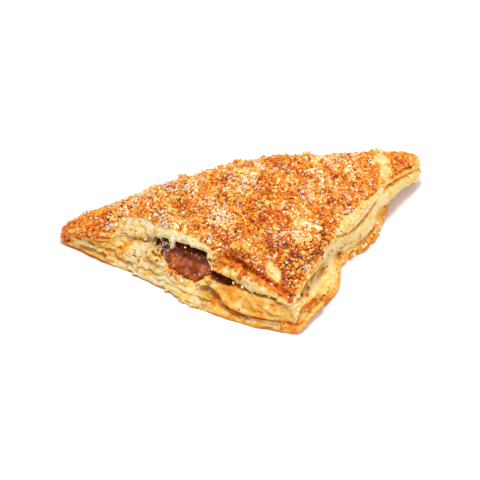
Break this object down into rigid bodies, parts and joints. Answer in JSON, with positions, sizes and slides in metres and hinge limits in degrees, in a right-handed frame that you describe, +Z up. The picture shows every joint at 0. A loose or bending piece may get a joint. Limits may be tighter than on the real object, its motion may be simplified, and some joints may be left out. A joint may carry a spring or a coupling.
{
  "type": "apple danish pastry",
  "caption": "Baked puff pastry turnover folded into a triangle, domed crumb topped crust, flaky cut sides and a mouth that shows brown apple filling.",
  "frame": {"origin": "on the tray, under the middle of the pastry's bounding box", "axes": "+X along the fold from the left tip to the right tip, +Y from the front corner to the fold, +Z up"},
  "size_m": [0.1686, 0.0882, 0.0363],
  "materials": {
    "crust": "baked puff pastry, golden to orange brown, matt with a faint egg wash sheen",
    "filling": "moist brown cooked apple and cinnamon, glossy"
  },
  "bodies": {
    "root": {"pastry_crust": "crust", "apple_filling": "filling"}
  },
  "joints": []
}
